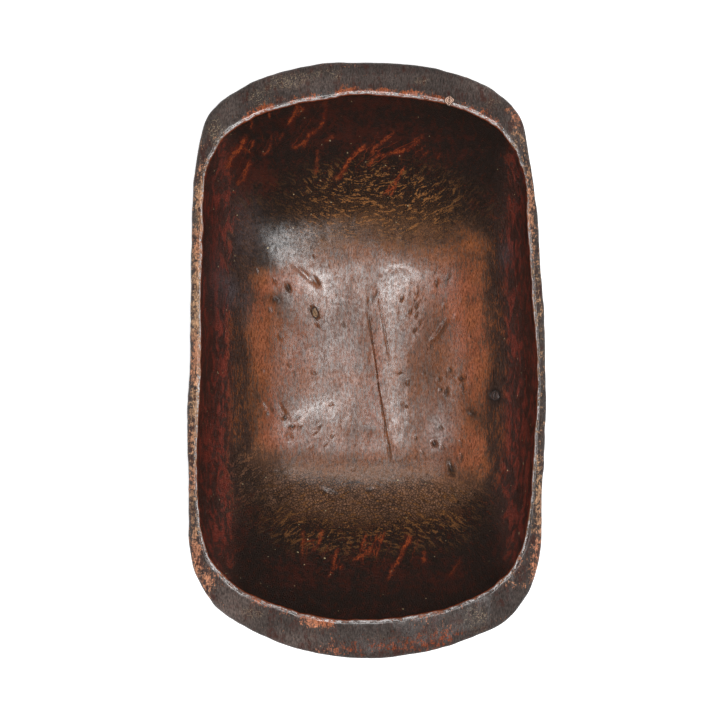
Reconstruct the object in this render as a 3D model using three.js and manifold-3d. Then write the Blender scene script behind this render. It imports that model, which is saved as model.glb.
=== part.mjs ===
// A long wooden bowl hewn from one half-log: a deep hollow, thin long sides, a broad carrying ledge
// at each end, and three tight knots that the hewing cut through.
// Millimetres, +Z up, +Y along the bowl. The origin is on the ground under the middle of the bowl.
import * as THREE from "three";
import { mergeVertices } from "three/addons/utils/BufferGeometryUtils.js";
import Module from "manifold-3d";

const wasm = await Module();
wasm.setup();

// Driving dimensions.
const HALF_LENGTH = 300;
const HALF_WIDTH = 181;
const RIM_AT_SIDES = 137; // height of the rim's crest at the middle of the long sides
const RIM_AT_ENDS = 145; // height of the rim's crest at the two ledges
const FLOOR_THICKNESS = 25; // wood under the middle of the hollow
const BARK_GAP = 0.35; // the dead bark line round a knot

// How finely the surface is faceted.
const FACETS_PER_STATION = 4;
const OUTSIDE_RINGS = 11;
const INSIDE_RINGS = 15;

// The rim seen from above, as stations going round from the middle of the right side.
// Each holds the rim's outer edge and its inner lip, as shares of the half width and half length.
const RIM_STATIONS = [
  { edge: [1.0, 0.0], lip: [0.948, 0.0] },
  { edge: [0.97, 0.35], lip: [0.912, 0.35] },
  { edge: [0.909, 0.683], lip: [0.876, 0.627] },
  { edge: [0.851, 0.827], lip: [0.801, 0.733] },
  { edge: [0.691, 0.915], lip: [0.646, 0.813] },
  { edge: [0.387, 0.98], lip: [0.365, 0.867] },
  { edge: [0.0, 1.0], lip: [0.0, 0.893] },
  { edge: [-0.343, 0.99], lip: [-0.304, 0.87] },
  { edge: [-0.691, 0.92], lip: [-0.624, 0.817] },
  { edge: [-0.884, 0.823], lip: [-0.812, 0.737] },
  { edge: [-0.953, 0.683], lip: [-0.895, 0.633] },
  { edge: [-0.983, 0.3], lip: [-0.923, 0.3] },
  { edge: [-0.997, -0.067], lip: [-0.934, -0.067] },
  { edge: [-1.0, -0.433], lip: [-0.945, -0.417] },
  { edge: [-0.978, -0.677], lip: [-0.906, -0.627] },
  { edge: [-0.856, -0.82], lip: [-0.762, -0.747] },
  { edge: [-0.525, -0.943], lip: [-0.47, -0.83] },
  { edge: [-0.221, -0.993], lip: [-0.199, -0.867] },
  { edge: [0.166, -0.998], lip: [0.155, -0.867] },
  { edge: [0.508, -0.952], lip: [0.459, -0.83] },
  { edge: [0.812, -0.857], lip: [0.713, -0.757] },
  { edge: [0.95, -0.707], lip: [0.862, -0.64] },
  { edge: [0.986, -0.4], lip: [0.928, -0.383] },
];

// Sections through the middle, as [distance from the middle, height]: one across the long sides and
// one along the bowl to its ends. Points on one line of the two lists lie on one ring of the surface.
const OUTSIDE_ACROSS = [[110, 0], [117, 1.2], [132, 9], [149, 25], [163, 46], [173, 70], [179, 95], [181, 118]];
const OUTSIDE_ALONG = [[138, 0], [147, 1.2], [170, 14], [198, 34], [226, 56], [254, 80], [282, 103], [298, 118]];
const INSIDE_ACROSS = [[170, 131], [168.5, 114], [165, 93], [159.5, 72], [150, 55], [136, 43], [114, 34], [75, 28.6], [36, 25.8]];
const INSIDE_ALONG = [[265, 138], [256, 122], [241, 102], [219, 81], [189, 60], [154, 42], [116, 31], [72, 27], [35, 25.4]];
const LIP_ACROSS = INSIDE_ACROSS[0][0];
const LIP_ALONG = INSIDE_ALONG[0][0];

// The rim's top, from its outer edge (share 0) to its lip (share 1), as drops below the crest.
// The ledges at the ends fall away outwards more than the narrow rims of the sides do.
const RIM_TOP = [
  { share: 0.0, dropAtSides: 7.5, dropAtEnds: 10 },
  { share: 0.04, dropAtSides: 4.2, dropAtEnds: 5.6 },
  { share: 0.16, dropAtSides: 2.0, dropAtEnds: 3.8 },
  { share: 0.5, dropAtSides: 0.4, dropAtEnds: 2.2 },
  { share: 0.8, dropAtSides: 0.0, dropAtEnds: 0.5 },
  { share: 0.93, dropAtSides: 1.2, dropAtEnds: 0.0 },
  { share: 1.0, dropAtSides: 3.6, dropAtEnds: 3.2 },
];

// The knots: where each comes to the surface, how thick it is there and how deep it goes in.
const KNOTS = [
  { name: "rim_knot", at: [82.5, 260.5], top: 144.4, radius: 4.6, depth: 26, lean: [0.1, -0.06] },
  { name: "floor_knot", at: [137, -38], top: 43.0, radius: 5.2, depth: 10, lean: [0.0, -0.54] },
  { name: "pin_knot", at: [-55.5, 51], top: 27.4, radius: 3.6, depth: 9, lean: [0.03, 0.05] },
];
const KNOT_TAPER = 0.72; // a knot's thickness at its deep end, as a share of that at its top
const KNOT_PROUD = 0.5; // the harder knot wears less than the wood round it
const KNOT_SIDES = 18;
const POCKET_MOUTH = 6; // how far a knot's pocket is cut above the knot's top, to open it

const patinatedWood = new THREE.MeshStandardMaterial({ color: 0x3a2218, roughness: 0.42, metalness: 0 });
const knotWood = new THREE.MeshStandardMaterial({ color: 0x24140e, roughness: 0.5, metalness: 0 });

// A closed smooth loop through one outline of the rim's stations.
function rimLoop(outline) {
  const points = RIM_STATIONS.map(
    (station) => new THREE.Vector3(station[outline][0] * HALF_WIDTH, station[outline][1] * HALF_LENGTH, 0),
  );
  const loop = new THREE.CatmullRomCurve3(points, true, "centripetal");
  const count = RIM_STATIONS.length * FACETS_PER_STATION;
  return Array.from({ length: count }, (_, i) => loop.getPoint(i / count));
}

// A smooth section through its drawn points.
function section(points) {
  return new THREE.CatmullRomCurve3(points.map(([x, z]) => new THREE.Vector3(x, 0, z)), false, "centripetal");
}

// 0 where the rim runs along a side, 1 where it crosses an end.
function endShare(point) {
  const across = (point.x / HALF_WIDTH) ** 2;
  const along = (point.y / HALF_LENGTH) ** 2;
  return along / (across + along);
}

// One ring of a wall: the loop drawn in to where the two sections are at t.
function wallRing(loop, across, acrossFull, along, alongFull, t) {
  const side = across.getPoint(t);
  const end = along.getPoint(t);
  return loop.map(
    (p) =>
      new THREE.Vector3(
        (p.x * side.x) / acrossFull,
        (p.y * end.x) / alongFull,
        THREE.MathUtils.lerp(side.z, end.z, endShare(p)),
      ),
  );
}

// One ring of the rim's top, between its outer edge and its lip.
function rimRing(edge, lip, { share, dropAtSides, dropAtEnds }) {
  return edge.map((p, i) => {
    const ring = p.clone().lerp(lip[i], share);
    const crest = THREE.MathUtils.lerp(RIM_AT_SIDES, RIM_AT_ENDS, endShare(p));
    ring.z = crest - THREE.MathUtils.lerp(dropAtSides, dropAtEnds, endShare(p));
    return ring;
  });
}

// A closed surface: a point, then rings of equal length, then a point, with its faces pointing out.
function closedSurface(first, rings, last) {
  const around = rings[0].length;
  const vertices = [first, ...rings.flat(), last];
  const faces = [];
  const at = (ring, i) => 1 + ring * around + (i % around);
  for (let i = 0; i < around; i += 1) {
    faces.push(0, at(0, i + 1), at(0, i));
    for (let ring = 0; ring + 1 < rings.length; ring += 1) {
      faces.push(at(ring, i), at(ring, i + 1), at(ring + 1, i + 1));
      faces.push(at(ring, i), at(ring + 1, i + 1), at(ring + 1, i));
    }
    faces.push(at(rings.length - 1, i), at(rings.length - 1, i + 1), vertices.length - 1);
  }
  return new THREE.BufferGeometry().setFromPoints(vertices).setIndex(faces);
}

// The hewn body: up the outside from the base, over the rim and down the hollow to its middle.
function bodyGeometry() {
  const edge = rimLoop("edge");
  const lip = rimLoop("lip");
  const outAcross = section(OUTSIDE_ACROSS);
  const outAlong = section(OUTSIDE_ALONG);
  const inAcross = section(INSIDE_ACROSS);
  const inAlong = section(INSIDE_ALONG);
  const outside = Array.from({ length: OUTSIDE_RINGS }, (_, i) =>
    wallRing(edge, outAcross, HALF_WIDTH, outAlong, HALF_LENGTH, i / (OUTSIDE_RINGS - 1)),
  );
  outside[0].forEach((p) => p.setZ(0)); // the flat that the bowl stands on
  const rim = RIM_TOP.map((line) => rimRing(edge, lip, line));
  const inside = Array.from({ length: INSIDE_RINGS }, (_, i) =>
    wallRing(lip, inAcross, LIP_ACROSS, inAlong, LIP_ALONG, i / (INSIDE_RINGS - 1)),
  );
  const middle = new THREE.Vector3(0, 0, FLOOR_THICKNESS);
  return closedSurface(new THREE.Vector3(0, 0, 0), [...outside, ...rim, ...inside], middle);
}

// The solid that a closed geometry encloses.
function solidOf(geometry) {
  const bare = geometry.index ? geometry.toNonIndexed() : geometry.clone();
  bare.deleteAttribute("normal");
  bare.deleteAttribute("uv");
  const merged = mergeVertices(bare, 1e-3);
  return new wasm.Manifold(
    new wasm.Mesh({
      numProp: 3,
      vertProperties: merged.attributes.position.array,
      triVerts: new Uint32Array(merged.index.array),
    }),
  );
}

function geometryOf(solid) {
  const made = solid.getMesh();
  return new THREE.BufferGeometry()
    .setAttribute("position", new THREE.BufferAttribute(made.vertProperties, made.numProp))
    .setIndex(new THREE.BufferAttribute(made.triVerts, 1));
}

// A knot or its pocket: a cone that narrows with depth, cut off at a height above the knot's top
// and at the knot's depth, and grown on all sides by a gap.
function knotGeometry({ radius, depth }, gap, above) {
  const radiusAt = (height) => radius + gap + (radius * (1 - KNOT_TAPER) * height) / depth;
  const bottom = -depth - gap;
  return new THREE.CylinderGeometry(radiusAt(above), radiusAt(bottom), above - bottom, KNOT_SIDES)
    .rotateX(Math.PI / 2)
    .translate(0, 0, (above + bottom) / 2);
}

function placeKnot(mesh, { at, top, lean }) {
  mesh.position.set(at[0], at[1], top);
  mesh.rotation.set(lean[0], lean[1], 0);
  mesh.updateMatrixWorld();
  return mesh;
}

function knotMesh(knot) {
  const mesh = new THREE.Mesh(knotGeometry(knot, 0, KNOT_PROUD), knotWood);
  mesh.name = knot.name;
  return placeKnot(mesh, knot);
}

// The pocket that a knot stands in, open at the surface.
function knotPocket(knot) {
  const pocket = placeKnot(new THREE.Mesh(knotGeometry(knot, BARK_GAP, POCKET_MOUTH)), knot);
  return solidOf(pocket.geometry.clone().applyMatrix4(pocket.matrixWorld));
}

function bodyMesh() {
  const solid = KNOTS.reduce((body, knot) => body.subtract(knotPocket(knot)), solidOf(bodyGeometry()));
  const mesh = new THREE.Mesh(geometryOf(solid), patinatedWood);
  mesh.name = "bowl_body";
  return mesh;
}

const bowl = new THREE.Group();
bowl.add(bodyMesh(), ...KNOTS.map(knotMesh));

export default bowl;
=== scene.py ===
"""A long wooden bowl hewn from one half-log, old, waxed and worn, with three tight knots.

The bowl is one closed surface on a grid. Spokes go round it, and rings go from the middle of the
foot, up the outside, over the rim and down the hollow to the middle of its floor. Metres, +Z up,
+Y along the bowl, with the origin on the ground under its middle.
"""

import math

import bpy
import numpy as np
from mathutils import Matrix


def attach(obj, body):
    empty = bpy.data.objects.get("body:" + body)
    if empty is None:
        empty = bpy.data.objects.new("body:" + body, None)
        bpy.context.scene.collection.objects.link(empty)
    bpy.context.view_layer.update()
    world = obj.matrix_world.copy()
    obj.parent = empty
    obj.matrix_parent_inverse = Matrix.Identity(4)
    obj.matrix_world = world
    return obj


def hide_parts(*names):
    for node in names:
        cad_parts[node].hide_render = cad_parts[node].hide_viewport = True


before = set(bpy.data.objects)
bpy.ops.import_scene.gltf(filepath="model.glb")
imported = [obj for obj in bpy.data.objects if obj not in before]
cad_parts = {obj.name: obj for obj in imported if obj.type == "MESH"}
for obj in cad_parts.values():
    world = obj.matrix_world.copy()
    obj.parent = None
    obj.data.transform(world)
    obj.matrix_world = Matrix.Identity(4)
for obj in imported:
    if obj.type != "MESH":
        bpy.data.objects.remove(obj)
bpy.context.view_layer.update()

MM = 0.001

# ------------------------------------------------------------------ the bowl's form, in millimetres

HALF_LENGTH = 300
HALF_WIDTH = 181
RIM_AT_SIDES = 137
RIM_AT_ENDS = 145
FLOOR_THICKNESS = 25

# The rim seen from above, as shares of the half width and half length, going round from the middle
# of the right side: the rim's outer edge and, point for point, its inner lip.
EDGE = [
    (1.0, 0.0), (0.97, 0.35), (0.909, 0.683), (0.851, 0.827), (0.691, 0.915), (0.387, 0.98),
    (0.0, 1.0), (-0.343, 0.99), (-0.691, 0.92), (-0.884, 0.823), (-0.953, 0.683), (-0.983, 0.3),
    (-0.997, -0.067), (-1.0, -0.433), (-0.978, -0.677), (-0.856, -0.82), (-0.525, -0.943),
    (-0.221, -0.993), (0.166, -0.998), (0.508, -0.952), (0.812, -0.857), (0.95, -0.707),
    (0.986, -0.4),
]
LIP = [
    (0.948, 0.0), (0.912, 0.35), (0.876, 0.627), (0.801, 0.733), (0.646, 0.813), (0.365, 0.867),
    (0.0, 0.893), (-0.304, 0.87), (-0.624, 0.817), (-0.812, 0.737), (-0.895, 0.633), (-0.923, 0.3),
    (-0.934, -0.067), (-0.945, -0.417), (-0.906, -0.627), (-0.762, -0.747), (-0.47, -0.83),
    (-0.199, -0.867), (0.155, -0.867), (0.459, -0.83), (0.713, -0.757), (0.862, -0.64),
    (0.928, -0.383),
]

# Sections through the middle, as (distance from the middle, height).
OUTSIDE_ACROSS = [(110, 0), (117, 1.2), (132, 9), (149, 25), (163, 46), (173, 70), (179, 95), (181, 118)]
OUTSIDE_ALONG = [(138, 0), (147, 1.2), (170, 14), (198, 34), (226, 56), (254, 80), (282, 103), (298, 118)]
INSIDE_ACROSS = [
    (170, 131), (168.5, 114), (165, 93), (159.5, 72), (150, 55), (136, 43), (114, 34), (75, 28.6), (36, 25.8),
]
INSIDE_ALONG = [
    (265, 138), (256, 122), (241, 102), (219, 81), (189, 60), (154, 42), (116, 31), (72, 27), (35, 25.4),
]

# The rim's top from its outer edge (share 0) to its lip (share 1): share, drop below the crest at
# the sides, and drop at the ends.
RIM_TOP = [
    (0.0, 7.5, 10), (0.04, 4.2, 5.6), (0.16, 2.0, 3.8), (0.5, 0.4, 2.2), (0.8, 0.0, 0.5), (0.93, 1.2, 0.0),
    (1.0, 3.6, 3.2),
]

SPOKES = 500
FOOT_RINGS = 4
OUTSIDE_RINGS = 22
RIM_RINGS = 20
INSIDE_RINGS = 128
CENTRE_RINGS = 18
KNOT_SPOKES = 72
KNOT_SIDE_RINGS = 3
KNOT_END_RINGS = 34
FLOOR_POLE = (12.5, -22)  # the inside spokes meet on the check in the floor, so that they run along it


def spline(points, closed, at):
    """Points at the shares `at` (0 to 1) of a centripetal Catmull-Rom curve: between each two drawn
    points a cubic whose slopes come from the neighbours, weighed by the roots of their distances."""
    p = np.asarray(points, float)
    spans = len(p) if closed else len(p) - 1
    place = np.asarray(at, float) * spans
    i = np.minimum(place.astype(int), spans - 1)
    w = (place - i)[:, None]
    if closed:
        around = [p[(i + k) % len(p)] for k in (-1, 0, 1, 2)]
    else:
        longer = np.vstack([2 * p[:1] - p[1:2], p, 2 * p[-1:] - p[-2:-1]])
        around = [longer[i + k] for k in range(4)]
    p0, p1, p2, p3 = around
    d0, d1, d2 = (np.sqrt(np.linalg.norm(b - a, axis=1, keepdims=True)) for a, b in zip(around, around[1:]))
    m1 = d1 * ((p1 - p0) / d0 - (p2 - p0) / (d0 + d1) + (p2 - p1) / d1)
    m2 = d1 * ((p2 - p1) / d1 - (p3 - p1) / (d1 + d2) + (p3 - p2) / d2)
    return p1 + m1 * w + (3 * (p2 - p1) - 2 * m1 - m2) * w**2 + (2 * (p1 - p2) + m1 + m2) * w**3


def smooth_step(low, high, value):
    """0 below low, 1 above high, and an S-shaped rise between them."""
    t = np.clip((value - low) / (high - low), 0, 1)
    return t * t * (3 - 2 * t)


def cloud(points, size, seed):
    """Smooth noise from -1 to 1: random values at the corners of a lattice whose cells have this
    size, a number or one for each axis, blended inside each cell by a smooth step."""
    table = np.random.default_rng(seed).uniform(-1, 1, (32, 32, 32))
    place = points / np.asarray(size)
    cell = np.floor(place).astype(int)
    w = smooth_step(0, 1, place - cell)
    total = np.zeros(points.shape[:-1])
    for corner in np.ndindex(2, 2, 2):
        weight = np.prod(np.where(corner, w, 1 - w), axis=-1)
        at = (cell + corner) % 32
        total += weight * table[at[..., 0], at[..., 1], at[..., 2]]
    return total


def rough_cloud(points, size, seed, octaves=3):
    """Clouds added up, each half the size and half the height of the one before."""
    layers = (cloud(points, np.asarray(size) / 2**k, seed + k) / 2**k for k in range(octaves))
    return sum(layers) / (2 - 2.0 ** (1 - octaves))


def end_share(loop):
    """0 where a loop runs along a side of the bowl and 1 where it crosses an end."""
    across = (loop[:, 0] / HALF_WIDTH) ** 2
    along = (loop[:, 1] / HALF_LENGTH) ** 2
    return along / (across + along)


def wall(loop, across, across_full, along, along_full, t):
    """Rings of a wall, one for each t: the loop drawn in to where the two sections are at t, at
    their heights, which are blended round the loop by its end share."""
    side = spline(across, False, t)
    end = spline(along, False, t)
    share = end_share(loop)
    x = loop[:, 0] * side[:, :1] / across_full
    y = loop[:, 1] * end[:, :1] / along_full
    z = side[:, 1:] + (end[:, 1:] - side[:, 1:]) * share
    return np.stack([x, y, z], axis=-1)


def rim_top(edge, lip, t):
    """Rings over the rim: points between its edge and its lip, below a crest that rises to the ends."""
    share, side_drop, end_drop = spline(RIM_TOP, False, t).T[:, :, None]
    ends = end_share(edge)
    plan = edge + (lip - edge) * share[:, :, None]
    crest = RIM_AT_SIDES + (RIM_AT_ENDS - RIM_AT_SIDES) * ends
    z = crest - side_drop - (end_drop - side_drop) * ends
    return np.concatenate([plan, z[:, :, None]], axis=-1)


def smooth_form():
    """The bowl before tools and wear mark it: rings by spokes by (x, y, z), in millimetres, and the
    numbers of the rings that are the rim's outer edge and its lip."""
    around = np.arange(SPOKES) / SPOKES
    edge = spline(EDGE, True, around) * (HALF_WIDTH, HALF_LENGTH)
    lip = spline(LIP, True, around) * (HALF_WIDTH, HALF_LENGTH)
    up = np.linspace(0, 1, OUTSIDE_RINGS)
    outside = wall(edge, OUTSIDE_ACROSS, HALF_WIDTH, OUTSIDE_ALONG, HALF_LENGTH, up)
    outside[0, :, 2] = 0
    foot = outside[:1] * np.linspace(0.15, 0.9, FOOT_RINGS)[:, None, None]
    rim = rim_top(edge, lip, np.linspace(0, 1, RIM_RINGS))
    even = np.linspace(0, 1, INSIDE_RINGS)
    down = even + 0.35 * even * (1 - even)
    inside = wall(lip, INSIDE_ACROSS, INSIDE_ACROSS[0][0], INSIDE_ALONG, INSIDE_ALONG[0][0], down)
    centre = np.linspace(1, 0, CENTRE_RINGS + 2)[1:-1, None, None]
    floor = inside[-1:] * centre
    floor[:, :, 2] = FLOOR_THICKNESS + (inside[-1:, :, 2] - FLOOR_THICKNESS) * centre[:, :, 0] ** 2
    rings = np.concatenate([foot, outside, rim, inside, floor])
    edge_ring = FOOT_RINGS + OUTSIDE_RINGS
    return rings, edge_ring, edge_ring + RIM_RINGS - 1


def normals_of(rings):
    """The outward direction at each grid point: along the rings crossed with along the spokes."""
    round_it = np.roll(rings, -1, axis=1) - np.roll(rings, 1, axis=1)
    up_it = np.gradient(rings, axis=0)
    normal = np.cross(round_it, up_it)
    return normal / np.maximum(np.linalg.norm(normal, axis=-1, keepdims=True), 1e-9)


def line_distance(points, line):
    """How far each point is, seen from above, from a line of points, and the share of the line's
    length at which it is nearest."""
    line = np.asarray(line, float)
    lengths = np.linalg.norm(np.diff(line, axis=0), axis=1)
    starts = np.concatenate([[0], np.cumsum(lengths)])
    best = np.full(points.shape[:-1], np.inf)
    share = np.zeros_like(best)
    for a, b, length, start in zip(line, line[1:], lengths, starts):
        along = np.clip(((points[..., :2] - a) @ (b - a)) / length**2, 0, 1)
        gap = np.linalg.norm(points[..., :2] - a - along[..., None] * (b - a), axis=-1)
        nearer = gap < best
        best = np.where(nearer, gap, best)
        share = np.where(nearer, (start + along * length) / starts[-1], share)
    return best, share


def bell(value):
    """1 where the value is 0, falling off as a bell curve."""
    return np.exp(-(value**2))


def spot(points, x, y, half_x, half_y, turn=0):
    """A soft round mark seen from above: 1 in its middle, falling off as a bell curve."""
    a = math.radians(turn)
    dx, dy = points[..., 0] - x, points[..., 1] - y
    u = (dx * math.cos(a) + dy * math.sin(a)) / half_x
    v = (dy * math.cos(a) - dx * math.sin(a)) / half_y
    return np.exp(-(u**2 + v**2))


# --------------------------------------------------------- marks of tools and wear, in millimetres

# Each is a line with its half width and depth.
CHECK = [
    (0.5, 61), (3, 41), (7, 16), (10, -3), (13.5, -30), (16, -44), (18, -57), (22, -81),
    (25.5, -103), (30, -117),
]
SPLITS = [
    (CHECK, 0.38, 0.6),
    ([(13.5, 75), (14, 64), (16, 53), (19, 35), (22, 16), (24, 3), (26.5, -4)], 0.3, 0.4),
    ([(0.5, 61), (4, 66), (8, 65), (11, 69), (13.5, 75)], 0.6, 0.6),
    ([(135, -8), (136, -18), (136.5, -28)], 0.6, 0.9),
    ([(-54, 41), (-52, 34)], 0.5, 0.6),
]

# Pits: x, y, half width, half length, turn in degrees, depth.
PITS = [
    (102, -20, 3.6, 3, -25, 1.9), (104, -30, 2, 3.6, -6, 1.5), (90, -11, 1.8, 3.6, 10, 1.1),
    (86, -34, 2, 4.6, -8, 1.6), (78, -21, 1.8, 2.2, -25, 1.2), (80, -32, 1.5, 2.6, -15, 1.1),
    (73, -90, 3.2, 2.6, 30, 2), (82, -94, 1.8, 2, 0, 1.2), (102, -89, 2, 3.2, 0, 1.2),
    (102, -104, 2, 4.2, 0, 1.4), (91, -118, 2.6, 7.4, 12, 2.4), (80, -73, 1.3, 2.6, 0, 0.9),
    (124, -49, 1.5, 2.4, -20, 1), (53, -84, 1.4, 1.8, 0, 0.8), (114, -58, 5, 3, -30, 0.8),
    (-84, 78, 2.6, 4.6, 10, 1.4), (-98, 84, 1.8, 3.2, 15, 1), (-99, 65, 3.6, 2.4, -32, 1.4),
    (-105, 54, 2.4, 3, 0, 1.1), (-118, 96, 1.2, 4, 8, 0.9), (-92, 24, 1.6, 3.8, 16, 1),
    (-54, 84, 3.2, 6.5, 36, 1), (-58, 110, 1.4, 1.8, 0, 1), (-41, 101, 1.4, 2.2, 0, 1),
    (-38, 63, 1.8, 1.4, 0, 0.8), (-25, 38, 1.4, 3, 0, 0.6), (-112, -12, 1.4, 3.2, 22, 1.2),
    (-107, -58, 1.5, 2.6, 22, 1.2), (-88, -62, 1.8, 2.6, 35, 1.4), (-80, -72, 1.4, 3.2, 30, 1.1),
    (-74, -62, 1.3, 2.2, 20, 0.9), (-72, -72, 1.3, 2.4, 20, 0.9), (-57, -14, 1.4, 3.6, 25, 0.8),
    (-82, -6, 1.4, 4.4, 25, 0.8), (-76, -14, 1.3, 4, 25, 0.7), (-51, -71, 1.2, 2.6, 0, 0.9),
    (-56, -78, 1.2, 1.6, 0, 0.8), (-38, -48, 1.2, 2, 0, 0.8), (-37, -82, 1.3, 1.8, 0, 0.9),
    (-60, -94, 1.6, 2.4, -20, 0.8), (-44, -90, 1.4, 1.6, 0, 0.7), (38, 66, 1.5, 1.5, 0, 1.6),
    (30, 92, 1.2, 2, 20, 0.9), (26, 87, 1.1, 2.2, -20, 0.8), (75, 83, 1.8, 4.8, 4, 1),
    (36, -14, 1.5, 1.4, 0, 1), (44, -25, 1, 3.6, -8, 0.9), (43, -50, 1.3, 1.8, 0, 0.8),
    (54, 58, 1.3, 3.4, 0, 1), (54, 49, 1.1, 3, 0, 0.9), (52, 32, 1.6, 2.2, 0, 1.1),
    (47, 52, 1.3, 3.4, 0, 0.8), (57, 40, 1.1, 4, 0, 0.6), (54, 71, 1.1, 3, 0, 0.7),
    (96, 46, 1.8, 4.8, 14, 0.7), (112, 26, 1.4, 3.6, 10, 0.8), (88, 90, 1.4, 3, 12, 0.8),
    (4, -140, 4.2, 1.8, 8, 1.1), (-12, -109, 1.2, 1.8, 0, 0.8), (-14, -118, 3, 1.4, -30, 0.8),
    (-100, -120, 1.6, 2.2, 0, 0.7), (60, -100, 2, 3, 30, 0.7), (62, -14, 1.2, 2.6, 0, 0.5),
    (84, 60, 1.2, 5, 8, 0.6), (102, 64, 1.2, 4, 8, 0.7), (-20, -20, 1.1, 3.4, 4, 0.4),
]
# Cuts of the adze's corner: the line of each, its half width and its depth.
CUTS = [
    ([(-50, -139), (-44, -141), (-38, -144), (-32, -147)], 1.5, 1.5),
    ([(87, 44), (82, 36), (76, 27), (69, 20)], 2, 0.9),
    ([(-15.5, 176), (-10.5, 167), (-10, 158), (-13.5, 147)], 1.3, 0.9),
    ([(-82, 105), (-66, 92), (-58, 84), (-52, 76)], 2.6, 0.5),
    ([(-114, -40), (-106, -50), (-103, -58)], 1.4, -0.8),
    ([(-96, -44), (-88, -60), (-84, -66)], 1.5, -0.9),
    ([(-86, -78), (-80, -88)], 1.3, -0.8),
    ([(20, 92), (26, 98), (40, 99), (52, 92)], 2, -0.4),
]
# Hollows and swellings that the adze left in the floor: x, y, half width, half length, turn, height.
SWELLS = [
    (33, 78, 26, 26, 0, -1), (-62, 96, 46, 20, -32, -0.8), (-72, -52, 36, 26, 0, -0.9),
    (40, -84, 20, 30, 0, -0.5), (-8, 50, 16, 60, 0, 0.6), (-2, -70, 20, 46, 0, 0.5),
    (84, -30, 26, 60, 0, 0.6), (-40, 20, 30, 34, 0, 0.4), (50, 10, 22, 40, 0, -0.3),
]

# The knots: where each comes to the surface, its half width and half length and its turn.
RIM_KNOT = (82.5, 260.5, 5.2, 4.8, 45)
FLOOR_KNOT = (137, -38, 4.9, 5.4, 0)
PIN_KNOT = (-55.5, 51, 2.9, 5.6, 9)

# How the lip's and the edge's outlines waver: height, size along the rim, seed.
LIP_WAVER = [(1.1, 34, 11), (0.9, 11, 12), (0.35, 4.5, 13)]
EDGE_WAVER = [(1, 46, 21), (0.6, 13, 22), (0.25, 5, 23)]


def carved(rings, edge_ring, lip_ring):
    """Returns the rings and, for each grid point, how far along its spoke it is from the lip and from
    the outer edge."""
    steps = np.linalg.norm(np.diff(rings, axis=0), axis=-1)
    along = np.concatenate([np.zeros((1, SPOKES)), np.cumsum(steps, axis=0)])
    from_lip = along - along[lip_ring]
    from_edge = along - along[edge_ring]
    in_hollow = np.arange(len(rings))[:, None] > lip_ring
    radius = np.linalg.norm(rings[..., :2], axis=-1)

    # the pole of the inside spokes
    pull = np.where(in_hollow, 1 - smooth_step(0, 120, radius), 0)[..., None]
    rings = rings.copy()
    rings[..., :2] += pull * FLOOR_POLE

    # the wavering rim
    outward = rings[..., :2] / np.array([HALF_WIDTH, HALF_LENGTH]) ** 2
    outward /= np.maximum(np.linalg.norm(outward, axis=-1, keepdims=True), 1e-9)
    near_lip = bell(from_lip / np.where(from_lip > 0, 16, 9))
    near_edge = bell(from_edge / np.where(from_edge > 0, 7, 22))
    ring_plan = np.zeros_like(rings)
    ring_plan[..., :2] = rings[lip_ring, :, :2]
    lip_waver = sum(height * cloud(ring_plan, size, seed) for height, size, seed in LIP_WAVER)
    edge_waver = sum(height * cloud(ring_plan, size, seed) for height, size, seed in EDGE_WAVER)
    rings[..., :2] += outward * (near_lip * lip_waver + near_edge * edge_waver)[..., None]
    rings[..., 2] += near_lip * 0.7 * cloud(ring_plan, 22, 14) + near_edge * 0.5 * cloud(ring_plan, 19, 24)

    # hewing marks
    normals = normals_of(rings)
    lift = np.zeros(rings.shape[:2])
    on_outside = (along < along[edge_ring]) & (rings[..., 2] > 1.5)
    facets = np.abs(cloud(rings, (26, 60, 22), 31)) * 2.2 + 0.5 * cloud(rings, (9, 20, 9), 32)
    lift += np.where(on_outside, (facets - 0.9) * smooth_step(0, 14, rings[..., 2]), 0) * (1 - near_edge)
    on_rim = smooth_step(0, 6, from_edge) * smooth_step(0, 5, -from_lip)
    lift += on_rim * (0.5 * cloud(rings, (14, 30, 14), 41) + 0.25 * cloud(rings, (5, 9, 5), 42))
    down = smooth_step(4, 30, from_lip) * in_hollow
    slope = 1 - np.abs(normals[..., 2])
    adzed = (0.06 + 0.5 * slope) * cloud(rings, (14, 26, 14), 52)
    lift += down * (0.3 * cloud(rings, (44, 60, 36), 51) + adzed)
    lift += down * (0.05 * cloud(rings, (4.5, 12, 5), 53) + 0.04 * cloud(rings, (3, 6, 3), 54))
    lift += down * sum(height * spot(rings, *place) for *place, height in SWELLS)

    # pits, cuts and splits
    floor_only = in_hollow & (from_lip > 20)
    for x, y, half_x, half_y, turn, depth in PITS:
        inner = spot(rings, x, y, 0.8 * half_x, 0.8 * half_y, turn)
        outer = spot(rings, x, y, 1.6 * half_x, 1.5 * half_y, turn)
        lift += floor_only * depth * (0.3 * outer - 1.2 * inner)
    for line, half_width, depth in CUTS:
        gap, share = line_distance(rings, line)
        swell = np.sin(np.pi * np.clip(share, 0.06, 0.94))
        lift -= floor_only * depth * bell(gap / half_width) * swell
    for line, width, depth in SPLITS:
        gap, share = line_distance(rings, line)
        lift -= depth * floor_only * tapered(share) * bell(gap / (1.3 * width))
    lift += floor_only * flake_height(rings)
    for x, y, half_x, half_y, turn in (FLOOR_KNOT, PIN_KNOT):
        lift -= floor_only * 2.4 * smooth_step(0.3, 0.5, spot(rings, x, y, half_x, half_y, turn))
    return rings + normals * lift[..., None], from_lip, from_edge


def tapered(share):
    """A line's strength along its length: full in the middle and fading out over its last sevenths."""
    return smooth_step(0, 1, 7 * np.minimum(share, 1 - share))


def side_of(points, line):
    """1 to the right of a line that runs down the bowl and -1 to its left."""
    line = np.asarray(line[::-1], float)
    return np.sign(points[..., 0] - np.interp(points[..., 1], line[:, 1], line[:, 0]))


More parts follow.
